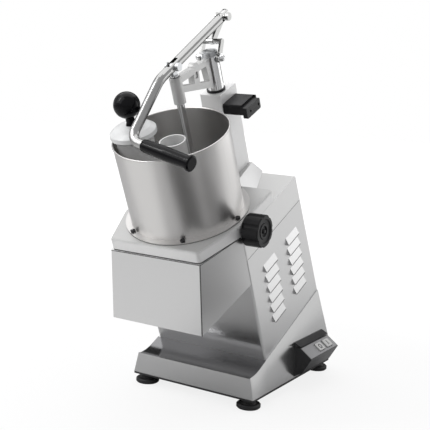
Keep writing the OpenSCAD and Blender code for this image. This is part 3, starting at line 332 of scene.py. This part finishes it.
# Painted reflection: the deck's front faces are the base shell's steel, darkened to stand in for the dark
# reflection of the chute hood's underside.
DECK_PAINTED_REFLECTION = Finish("deck painted dark reflection", (0.20, 0.20, 0.205), 0.97, 0.15, Grain.ACROSS, Axes.STAND, 1800, 0.02,
              rough_swing=0.05, tone_swing=0.08)
HOPPER_STEEL = Finish("turned hopper steel", (0.66, 0.65, 0.64), 0.97, 0.33, Grain.ACROSS, fine=1500,
                      bump=0.03, rough_swing=0.05, tone_swing=0.05)
TUBE = Finish("drawn tube", (0.80, 0.80, 0.79), 0.20, 0.34, Grain.UP, bump=0.05, wear=0.3)
CHROME = Finish("polished chrome", (0.80, 0.81, 0.82), 1.0, 0.10, fine=300, bump=0.02, rough_swing=0.05,
                wear=0.5)
SATIN = Finish("satin bar", (0.40, 0.40, 0.395), 0.97, 0.17, fine=600, bump=0.05, wear=0.4)
TURNED = Finish("turned steel", (0.52, 0.53, 0.54), 0.95, 0.30, Grain.ACROSS, bump=0.10)
SCREW = Finish("blackened steel", (0.05, 0.05, 0.052), 0.85, 0.34, fine=700, bump=0.12)

# Castings, and darker copies of them painted as shade
CAST = Finish("tumbled casting", (0.80, 0.80, 0.79), 0.35, 0.42, fine=520, bump=0.22, tone_swing=0.05)
# A grey casting for the belt guard and guide bracket; also the painted shade on the cutting chamber's
# front, top and rear faces.
CAST_GREY_AND_CHAMBER_SHADE = Finish("plain casting", (0.58, 0.58, 0.575), 0.55, 0.45, fine=420, bump=0.30)
# Painted shade: a darker copy of the lid's casting, for the lid's upward faces only.
LID_TOP_PAINTED_SHADE = Finish("lid top painted shade", (0.50, 0.50, 0.495), 0.55, 0.36, fine=520, bump=0.14,
                  tone_swing=0.05)
# The cutting chamber's own casting, kept on its side faces; its other faces take the darker grey casting
# as painted shade.
CHAMBER = Finish("satin casting", (0.76, 0.76, 0.755), 0.55, 0.40, fine=420, bump=0.14)

# Plastics, rubber, paint and dark lines
BLACK = Finish("grained black plastic", (0.008, 0.008, 0.009), 0.0, 0.40, fine=1500, bump=0.25,
               wear=0.12, shine=0.25)
GLOSS = Finish("smooth black plastic", (0.004, 0.004, 0.005), 0.0, 0.12, fine=500, bump=0.02, wear=0.12,
               shine=0.14)
RUBBER = Finish("black rubber", (0.014, 0.014, 0.015), 0.0, 0.62, Grain.EVEN, Axes.STAND, 700, 0.25,
                wear=0.35)
POD = Finish("dark control box", (0.016, 0.016, 0.017), 0.0, 0.34, Grain.EVEN, Axes.STAND, 1400, 0.18)
KEYS = Finish("light keys", (0.55, 0.55, 0.54), 0.0, 0.38, Grain.EVEN, Axes.STAND, 1200, 0.12)
FACE = Finish("grey key panel", (0.29, 0.29, 0.295), 0.0, 0.40, Grain.EVEN, Axes.STAND, 1200, 0.12)
IVORY = Finish("pale pestle plastic", (0.80, 0.82, 0.82), 0.0, 0.28, fine=300, bump=0.06)
PAINT = Finish("grey motor paint", (0.10, 0.11, 0.12), 0.0, 0.40, fine=400, bump=0.25)
BOARD = Finish("green laminate", (0.03, 0.13, 0.06), 0.0, 0.45, fine=300, bump=0.08)
# Dark lines: the seams between the chamber and the side panels, and painted shade under the lid and down
# the hood's front right corner.
SEAM_AND_SHADE = Finish("dark seam and painted shade", (0.06, 0.06, 0.062), 0.2, 0.5, fine=600, bump=0.10)
SHADE = Finish("grey shade line", (0.10, 0.10, 0.098), 0.1, 0.5, fine=600, bump=0.10)

NODE_FINISH: dict[str, Finish] = {
    "base_shell": SHEET_LOW, "bottom_plate": SHEET_LOW, "edge_trim": RUBBER, "rubber_feet": RUBBER,
    "foot_screws": TURNED, "motor_housing": SHEET, "rear_cover": SHEET, "cover_screws": TURNED,
    "cutting_chamber": CHAMBER, "chute_hood": SHEET, "belt_guard": CAST_GREY_AND_CHAMBER_SHADE, "motor_plate": TURNED,
    "motor_body": PAINT, "motor_rotor": TURNED, "motor_pulley": TURNED, "motor_fan": BLACK,
    "drive_belt": RUBBER, "disc_pulley": TURNED, "spindle": TURNED, "spindle_bearings": TURNED,
    "ejector": IVORY, "slicing_disc": SATIN, "disc_blades": CHROME, "capacitor": SATIN,
    "control_board": BOARD, "cable_gland": BLACK, "lid": CAST, "lid_gasket": RUBBER,
    "hopper": HOPPER_STEEL, "hopper_screws": SCREW, "wide_feed_tube": TUBE, "narrow_feed_tube": TUBE,
    "pestle": IVORY, "pestle_knob": GLOSS, "column": CAST, "column_screws": TURNED, "post": CHROME,
    "post_ring": BLACK, "post_cap": TURNED, "link_bolts": CHROME, "guide_bracket": CAST_GREY_AND_CHAMBER_SHADE,
    "guide_bushes": BLACK, "pusher_rod": CHROME, "rod_eye": TURNED, "pusher_plate": CAST,
    "pusher_nut": TURNED, "link_yoke": SATIN, "lever_arm": SATIN, "lever_pin": TURNED,
    "lever_grip": GLOSS, "grip_cap": GLOSS, "switch_box": BLACK, "hinge_brackets": TURNED,
    "lid_hinges": TURNED, "hinge_pins": TURNED, "lock_stud": TURNED, "lock_knob": BLACK,
    "control_box": POD, "start_button": KEYS, "stop_button": KEYS,
}

SOFT_EDGES: dict[str, float] = {
    "column": 0.0008, "switch_box": 0.0005, "lid": 0.0005, "control_box": 0.0005, "base_shell": 0.0005,
    "chute_hood": 0.0004,
}


@dataclass(frozen=True)
class PaintedLightFaces:
    """A darker second finish for the faces of a node that lean a given way: painted shade, and on the
    deck a painted dark reflection. Places are in metres.
    """

    node: str
    finish: Finish
    least_up: float = -2.0
    most_side: float = 2.0
    before: float = 9.0

    def wants(self, face: bpy.types.MeshPolygon) -> bool:
        """Tells whether a face gets this finish.

        Args:
            face: A face of the node, in the stand's frame.

        Returns:
            True if it does.
        """
        leans = face.normal.z > self.least_up and abs(face.normal.x) < self.most_side
        return leans and face.center.y < self.before


PAINTED_LIGHT_FACES: tuple[PaintedLightFaces, ...] = (
    # Painted reflection: the front deck's upward faces get the darkened deck steel.
    PaintedLightFaces("base_shell", DECK_PAINTED_REFLECTION, least_up=0.85, before=-0.105),
    # Painted shade: the chamber's front, top and rear faces get the darker grey casting.
    PaintedLightFaces("cutting_chamber", CAST_GREY_AND_CHAMBER_SHADE, most_side=0.5),
    # Painted shade: the lid's top faces get the darker copy of its casting.
    PaintedLightFaces("lid", LID_TOP_PAINTED_SHADE, least_up=0.88),
)


def head_point(x: float, y: float, z: float) -> Vector:
    """Turns a place in the tilted head, in millimetres, into a point of the stand, in metres.

    Args:
        x: Place to the right.
        y: Place to the rear, along the head.
        z: Place upward, square to the lid.

    Returns:
        The point.
    """
    return (Matrix.Rotation(TILT, 3, "X") @ Vector((x, y, z)) + Vector(HEAD_ORIGIN)) * MM


def head_step(x: float, y: float, z: float) -> Vector:
    """Turns a step in the tilted head, in millimetres, into a step of the stand, in metres.

    Args:
        x: Step to the right.
        y: Step to the rear, along the head.
        z: Step upward, square to the lid.

    Returns:
        The step.
    """
    return head_point(x, y, z) - head_point(0, 0, 0)


@dataclass
class Machine:
    """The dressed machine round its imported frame."""

    frame: dict
    materials: dict[str, bpy.types.Material] = field(default_factory=dict)
    sharp_from: float = math.radians(28)
    shade_sharp_from: float = math.radians(15)
    flat_within: float = math.radians(0.5)
    merge_within: float = 1e-6
    patch_merge_within: float = 1e-7

    def finish_of(self, finish: Finish) -> bpy.types.Material:
        """Returns the material of a finish, made once.

        Args:
            finish: The finish.

        Returns:
            Its material.
        """
        if finish.name not in self.materials:
            self.materials[finish.name] = finish.material()
        return self.materials[finish.name]

    def paint_nodes(self) -> None:
        """Gives every CAD node its finish, and some of their faces a darker second one: painted shade on
        the lid's top and the chamber, and a painted dark reflection on the deck.
        """
        for name, finish in NODE_FINISH.items():
            mesh = self.frame["nodes"][name].data
            mesh.materials.clear()
            mesh.materials.append(self.finish_of(finish))
        for second in PAINTED_LIGHT_FACES:
            mesh = self.frame["nodes"][second.node].data
            mesh.materials.append(self.finish_of(second.finish))
            for face in mesh.polygons:
                if second.wants(face):
                    face.material_index = 1

    def soften(self, name: str, width: float, steps: int = 2) -> bpy.types.Object:
        """Stands a copy with rounded edges in for a CAD node.

        Args:
            name: The CAD node.
            width: Width of the rounding, in metres.
            steps: Segments of the rounding.

        Returns:
            The new piece.
        """
        node = self.frame["nodes"][name]
        shape = bmesh.new()
        shape.from_mesh(node.data)
        bmesh.ops.remove_doubles(shape, verts=shape.verts, dist=self.merge_within)
        bmesh.ops.dissolve_limit(shape, angle_limit=self.flat_within, verts=shape.verts,
                                 edges=shape.edges, delimit={"MATERIAL"})
        joined = [edge for edge in shape.edges if len(edge.link_faces) == 2]
        sharp = [edge for edge in joined if edge.calc_face_angle(0.0) > self.sharp_from]
        bmesh.ops.bevel(shape, geom=sharp, offset=width, offset_type="OFFSET", segments=steps,
                        profile=0.5, affect="EDGES", material=-1, clamp_overlap=True)
        for face in shape.faces:
            face.smooth = True
        piece = self.piece(name + "_soft", shape, list(node.data.materials), body_of(node)[0])
        piece.data.set_sharp_from_angle(angle=self.shade_sharp_from)
        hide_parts(name)
        return piece

    def piece(self, name: str, shape: bmesh.types.BMesh, looks: list[bpy.types.Material],
              body: str) -> bpy.types.Object:
        """Turns a shape into a piece that rides on a body.

        Args:
            name: Name of the piece.
            shape: Its mesh, in the stand's frame. It is freed here.
            looks: Its materials.
            body: The body that carries it.

        Returns:
            The new piece.
        """
        made = bpy.data.meshes.new(name)
        shape.to_mesh(made)
        shape.free()
        for look in looks:
            made.materials.append(look)
        piece = bpy.data.objects.new(name, made)
        bpy.context.scene.collection.objects.link(piece)
        log.info("piece %s on %s", name, body)
        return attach(piece, body)

    def slab(self, name: str, flats: list[list[Vector]], rise: Vector, finish: Finish,
             body: str = "frame") -> bpy.types.Object:
        """Makes a thin slab from flat patches that share their corners.

        Args:
            name: Name of the piece.
            flats: Corners of each patch, all wound the same way.
            rise: From the underside to the upper side.
            finish: Its finish.
            body: The body that carries it.

        Returns:
            The new piece.
        """
        shape = bmesh.new()
        for corners in flats:
            shape.faces.new([shape.verts.new(c) for c in corners])
        bmesh.ops.remove_doubles(shape, verts=shape.verts, dist=self.patch_merge_within)
        under = list(shape.faces)
        grown = bmesh.ops.extrude_face_region(shape, geom=under, use_keep_orig=True)["geom"]
        upper = [part for part in grown if isinstance(part, bmesh.types.BMVert)]
        bmesh.ops.translate(shape, vec=rise, verts=upper)
        bmesh.ops.recalc_face_normals(shape, faces=shape.faces)
        return self.piece(name, shape, [self.finish_of(finish)], body)


@dataclass(frozen=True)
class SeamsAndShade:
    """Dark lines where sheets meet, painted shade under the lid and down the hood's corner, and the shade
    under the louvres. Millimetres, in the tilted head.
    """

    hood_top_half: float = 96.0
    hood_low_half: float = 98.0
    hood_front: float = 124.5
    hood_low_front: float = 165.0
    hood_low: float = -147.8
    hood_top: float = -22.8
    corner_in: float = 1.5
    corner_out: float = 0.3
    corner_deep: float = 1.6
    lid_line_top: float = -22.7
    lid_line_low: float = -24.1
    lid_line_lean: float = 0.45
    lid_line_step: tuple[float, float] = (0.2, -0.25)
    side_end: tuple[float, float] = (124.9, -24.2)
    panel: float = 124.9
    panel_out: float = 0.25
    panel_line: tuple[float, float] = (-76.6, -75.7)
    panel_ends: tuple[float, float] = (-18.0, 201.0)
    louvre_starts: tuple[float, float] = (29.0, 125.0)
    louvre_rows: int = 6
    louvre_pitch: float = 23.6
    shade_from: float = 0.8
    shade_to: float = 45.2
    lip: tuple[float, float] = (130.9, -135.9)
    above_lip: tuple[float, float] = (130.4, -134.6)

    def build(self, machine: Machine) -> None:
        """Adds every seam and shade.

        Args:
            machine: The machine that gets them.
        """
        self.lid_gap_shade(machine)
        self.hood_seam(machine)
        for side, mark in ((1, "right"), (-1, "left")):
            self.panel_seam(machine, side, mark)
            self.louvre_shade(machine, side, mark)

    def lid_gap_shade(self, machine: Machine) -> None:
        """Adds a dark line of painted shade under the lid, along the hood's front and right side.

        Args:
            machine: The machine that gets it.
        """
        half, front, (end_x, end_y) = self.hood_top_half, -self.hood_front, self.side_end
        top, low, lean = self.lid_line_top, self.lid_line_low, front - self.lid_line_lean
        strips = (
            ((-half, front, top), (half, front, top), (half, lean, low), (-half, lean, low)),
            ((half, front, top), (end_x, end_y, top), (end_x, end_y, low), (half, lean, low)),
        )
        flats = [[head_point(*corner) for corner in strip] for strip in strips]
        # Painted shade: a dark strip where shade falls in the gap under the lid.
        machine.slab("lid_gap_shade", flats, head_step(*self.lid_line_step, 0), SEAM_AND_SHADE)

    def hood_seam(self, machine: Machine) -> None:
        """Adds a dark line of painted shade down the hood's front right corner.

        Args:
            machine: The machine that gets it.
        """
        top = (self.hood_top_half, -self.hood_front - self.corner_out, self.hood_top)
        low = (self.hood_low_half, -self.hood_low_front - self.corner_out, self.hood_low)
        places = ((top, self.corner_out), (top, -self.corner_in), (low, -self.corner_in),
                  (low, self.corner_out))
        line = [head_point(x + across, y, z) for (x, y, z), across in places]
        # Painted shade: a dark strip down the hood's corner edge.
        machine.slab("hood_seam", [line], head_step(0, self.corner_deep, 0), SEAM_AND_SHADE)

    def panel_seam(self, machine: Machine, side: int, mark: str) -> None:
        """Adds the line between the chamber and one side panel.

        Args:
            machine: The machine that gets it.
            side: 1 for the right side, -1 for the left.
            mark: The side's word in the piece's name.
        """
        (low, top), (near, far) = self.panel_line, self.panel_ends
        places = ((near, low), (far, low), (far, top), (near, top))
        line = [head_point(side * self.panel, y, z) for y, z in places]
        machine.slab("panel_seam_" + mark, [line], head_step(side * self.panel_out, 0, 0), SEAM_AND_SHADE)

    def louvre_shade(self, machine: Machine, side: int, mark: str) -> None:
        """Adds the shade along the lips of one side's louvres.

        Args:
            machine: The machine that gets it.
            side: 1 for the right side, -1 for the left.
            mark: The side's word in the piece's name.
        """
        places = ((self.lip, self.shade_from), (self.lip, self.shade_to), (self.above_lip, self.shade_to),
                  (self.above_lip, self.shade_from))
        shades = [[head_point(side * x, start + along, z - self.louvre_pitch * row)
                   for (x, z), along in places]
                  for start in self.louvre_starts for row in range(self.louvre_rows)]
        machine.slab("louvre_shade_" + mark, shades, head_step(side * self.panel_out, 0, 0), SHADE)


@dataclass(frozen=True)
class KeyPad:
    """The grey panel on the control box's slope, and the marks on its keys. Millimetres, in the stand."""

    slope_low: tuple[float, float] = (174.0, 67.0)
    slope_high: tuple[float, float] = (147.0, 86.0)
    rows: tuple[float, ...] = (-14.6, -9.9, 9.9, 14.6)
    columns: tuple[float, ...] = (4.0, 53.5, 81.4, 89.5, 117.4, 132.0)
    key_row: int = 1
    key_columns: tuple[int, int] = (1, 3)
    sunk: float = 0.05
    panel_thick: float = 0.5
    start_middle: float = 103.51
    stop_middle: float = 67.47
    mark_base: float = 2.95
    mark_thick: float = 0.25
    bar_half_length: float = 5.5
    bar_half_width: float = 1.1
    ring_outer: float = 5.6
    ring_inner: float = 3.6
    ring_steps: int = 32

    def point(self, up: float, along: float, out: float) -> Vector:
        """Turns a place on the slope into a point of the stand, in metres.

        Args:
            up: Place up the slope, from its middle.
            along: Place to the rear, from the stand's centre.
            out: Height above the slope.

        Returns:
            The point.
        """
        low, high = Vector(self.slope_low), Vector(self.slope_high)
        climb = (high - low).normalized()
        spot = (low + high) / 2 + climb * up + Vector((climb.y, -climb.x)) * out
        return Vector((spot.x, along, spot.y)) * MM

    def rise(self, thick: float) -> Vector:
        """Returns a step out of the slope, in metres.

        Args:
            thick: Its length.

        Returns:
            The step.
        """
        return self.point(0, 0, thick) - self.point(0, 0, 0)

    def build(self, machine: Machine) -> None:
        """Adds the panel and both marks.

        Args:
            machine: The machine that gets them.
        """
        self.panel(machine)
        self.mark(machine, "start_key", self.start_middle, KeyMark.BAR)
        self.mark(machine, "stop_key", self.stop_middle, KeyMark.RING)

    def panel(self, machine: Machine) -> None:
        """Adds the grey panel, with an opening for each key.

        Args:
            machine: The machine that gets it.
        """
        flats = []
        for row, (low, high) in enumerate(zip(self.rows, self.rows[1:])):
            for column, (near, far) in enumerate(zip(self.columns, self.columns[1:])):
                if row == self.key_row and column in self.key_columns:
                    continue
                corners = ((low, near), (high, near), (high, far), (low, far))
                flats.append([self.point(*corner, -self.sunk) for corner in corners])
        machine.slab("key_panel", flats, self.rise(self.panel_thick), FACE)

    def mark(self, machine: Machine, body: str, middle: float, kind: KeyMark) -> None:
        """Adds the mark on one key.

        Args:
            machine: The machine that gets it.
            body: The body of the key.
            middle: Middle of the key, from the stand's centre.
            kind: The mark.
        """
        if kind is KeyMark.BAR:
            long, wide = self.bar_half_length, self.bar_half_width
            patches = [((long, -wide), (long, wide), (-long, wide), (-long, -wide))]
        else:
            turns = [math.tau * step / self.ring_steps for step in range(self.ring_steps + 1)]
            outer, inner = self.ring_outer, self.ring_inner
            patches = [[(radius * math.cos(turn), radius * math.sin(turn)) for radius, turn in (
                (outer, one), (outer, two), (inner, two), (inner, one))]
                for one, two in zip(turns, turns[1:])]
        flats = [[self.point(up, middle + along, self.mark_base) for up, along in patch]
                 for patch in patches]
        machine.slab(body + "_mark", flats, self.rise(self.mark_thick), BLACK, body)


@dataclass(frozen=True)
class Camera:
    """The photograph's view, as fitted to the machine. Places are in metres."""

    place: tuple[float, float, float] = (0.90363, -1.63464, 0.61834)
    look: tuple[float, float, float] = (-0.5057, 0.8500, -0.1478)
    roll: float = math.radians(2.95)
    lens: float = 76.39
    sensor: float = 36.0
    reach: float = 50.0

    def build(self) -> None:
        """Makes the camera and sets it as the scene's own."""
        data = bpy.data.cameras.new("photo_view")
        data.lens = self.lens
        data.sensor_width = self.sensor
        data.clip_end = self.reach
        ahead = Vector(self.look).normalized()
        right = ahead.cross(Vector((0, 0, 1))).normalized()
        up = right.cross(ahead)
        turned = right * math.cos(self.roll) + up * math.sin(self.roll)
        upright = up * math.cos(self.roll) - right * math.sin(self.roll)
        camera = bpy.data.objects.new("photo_view", data)
        basis = Matrix((turned, upright, -ahead)).transposed()
        camera.matrix_world = Matrix.Translation(Vector(self.place)) @ basis.to_4x4()
        bpy.context.scene.collection.objects.link(camera)
        bpy.context.scene.camera = camera


@dataclass(frozen=True)
class Lamp:
    """One soft lamp, aimed at the middle of the machine. Sizes are in metres, power in watts."""

    name: str
    place: tuple[float, float, float]
    size: tuple[float, float]
    power: float
    target: tuple[float, float, float] = (0.0, -0.1, 0.35)

    def build(self) -> None:
        """Makes the lamp."""
        data = bpy.data.lights.new(self.name, "AREA")
        data.shape = "RECTANGLE"
        data.size, data.size_y = self.size
        data.energy = self.power
        lamp = bpy.data.objects.new(self.name, data)
        aim = Vector(self.target) - Vector(self.place)
        turned = aim.to_track_quat("-Z", "Y").to_matrix().to_4x4()
        lamp.matrix_world = Matrix.Translation(self.place) @ turned
        bpy.context.scene.collection.objects.link(lamp)


@dataclass(frozen=True)
class Card:
    """A card beside or behind the view. Only mirror-like surfaces see it. Sizes are in metres."""

    name: str
    place: tuple[float, float, float]
    size: tuple[float, float]
    shade: float
    turn: tuple[float, float, float] = (0.0, 0.0, 0.0)

    def build(self) -> None:
        """Makes the card."""
        shape = bmesh.new()
        bmesh.ops.create_grid(shape, x_segments=1, y_segments=1, size=0.5)
        bmesh.ops.scale(shape, vec=(*self.size, 1.0), verts=shape.verts)
        bmesh.ops.transform(shape, matrix=Euler(self.turn).to_matrix().to_4x4(), verts=shape.verts)
        bmesh.ops.translate(shape, vec=self.place, verts=shape.verts)
        mesh = bpy.data.meshes.new(self.name)
        shape.to_mesh(mesh)
        shape.free()
        card = bpy.data.objects.new(self.name, mesh)
        bpy.context.scene.collection.objects.link(card)
        card.visible_camera = False
        card.visible_diffuse = False
        card.visible_shadow = False
        card.visible_transmission = False
        material = bpy.data.materials.new(self.name)
        book = NodeBook(material)
        book.close(book.node("ShaderNodeEmission", {}, {"Color": (1, 1, 1, 1), "Strength": self.shade}))
        mesh.materials.append(material)


BEHIND_TURN = (math.radians(90), 0.0, math.radians(31))
BESIDE_TURN = (math.radians(90), 0.0, math.radians(-31))


@dataclass(frozen=True)
class Studio:
    """Pale floor, soft lamps, cards beside the view and a white surround. Sizes are in metres."""

    lamps: tuple[Lamp, ...] = (
        Lamp("key", (-1.6, -2.2, 2.4), (3.0, 3.0), 42.0),
        Lamp("strip", (-1.3, -1.7, 2.0), (0.22, 0.9), 7.0),
        Lamp("side", (2.4, 2.2, 1.5), (1.2, 1.2), 5.0),
        Lamp("top", (-0.6, 0.6, 2.8), (3.4, 3.4), 44.0),
    )
    cards: tuple[Card, ...] = (
        Card("front_right", (0.42, -0.62, 0.02), (0.45, 0.55), 0.04),
        Card("right", (0.85, -0.05, 0.02), (0.60, 0.60), 0.16),
        Card("front_left", (-0.62, -0.85, 0.02), (1.10, 1.00), 0.92),
        Card("behind", (-0.75, 1.10, 1.20), (2.60, 1.10), 0.05, BEHIND_TURN),
        Card("beside_low", (0.80, 1.20, 0.21), (1.50, 0.42), 0.95, BESIDE_TURN),
        Card("beside_high", (0.95, 1.45, 0.80), (1.80, 0.66), 1.62, BESIDE_TURN),
        Card("beside_floor", (0.75, 0.75, 0.015), (0.70, 1.00), 0.90),
    )
    surround: tuple[float, float, float, float] = (0.80, 0.80, 0.81, 1.0)
    surround_strength: float = 0.74
    floor_radius: float = 9.0
    floor_sides: int = 96
    floor_drop: float = 0.0005
    floor_grey: float = 0.50
    floor_glow: float = 1.16
    glow_share: float = 0.72
    fade_from: float = 0.5
    fade_to: float = 2.0

    def build(self) -> None:
        """Builds the whole studio."""
        self._world()
        self._floor()
        for item in (*self.lamps, *self.cards):
            item.build()

    def _world(self) -> None:
        """Makes the surround: white to the camera, soft grey as light."""
        world = bpy.data.worlds.new("surround")
        bpy.context.scene.world = world
        book = NodeBook(world)
        seen = book.node("ShaderNodeBackground", {}, {"Color": (1, 1, 1, 1), "Strength": 1.0})
        soft = book.node("ShaderNodeBackground", {},
                         {"Color": self.surround, "Strength": self.surround_strength})
        camera_ray = book.node("ShaderNodeLightPath", {}, {}, "Is Camera Ray")
        mixed = book.node("ShaderNodeMixShader", {}, {0: camera_ray, 1: soft, 2: seen})
        book.close(mixed, "ShaderNodeOutputWorld")

    def _floor(self) -> None:
        """Makes a pale floor that keeps a soft shadow."""
        shape = bmesh.new()
        bmesh.ops.create_circle(shape, cap_ends=True, segments=self.floor_sides,
                                radius=self.floor_radius)
        mesh = bpy.data.meshes.new("floor")
        shape.to_mesh(mesh)
        shape.free()
        floor = bpy.data.objects.new("floor", mesh)
        bpy.context.scene.collection.objects.link(floor)
        floor.location.z = -self.floor_drop
        material = bpy.data.materials.new("pale floor")
        book = NodeBook(material)
        grey = (self.floor_grey, self.floor_grey, self.floor_grey, 1.0)
        matt = book.node("ShaderNodeBsdfDiffuse", {}, {"Color": grey})
        glow = book.node("ShaderNodeEmission", {}, {"Color": (1, 1, 1, 1), "Strength": self.floor_glow})
        place = book.node("ShaderNodeTexCoord", {}, {}, "Object")
        away = book.node("ShaderNodeVectorMath", {"operation": "LENGTH"}, {0: place}, "Value")
        far = book.ramp(away, self.fade_from, self.fade_to)
        camera_ray = book.node("ShaderNodeLightPath", {}, {}, "Is Camera Ray")
        share = camera_ray * (far * (1 - self.glow_share) + self.glow_share)
        book.close(book.node("ShaderNodeMixShader", {}, {0: share, 1: matt, 2: glow}))
        mesh.materials.append(material)


def main() -> None:
    """Builds the machine's looks, the studio and the camera."""
    logging.basicConfig(level=logging.INFO, format="%(message)s")
    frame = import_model()
    machine = Machine(frame)
    machine.paint_nodes()
    for name, width in SOFT_EDGES.items():
        machine.soften(name, width)
    SeamsAndShade().build(machine)
    KeyPad().build(machine)
    Studio().build()
    Camera().build()
    bpy.context.scene.view_settings.view_transform = "Standard"
    log.info("dressed %d nodes", len(frame["nodes"]))


if __name__ == "__main__":
    main()
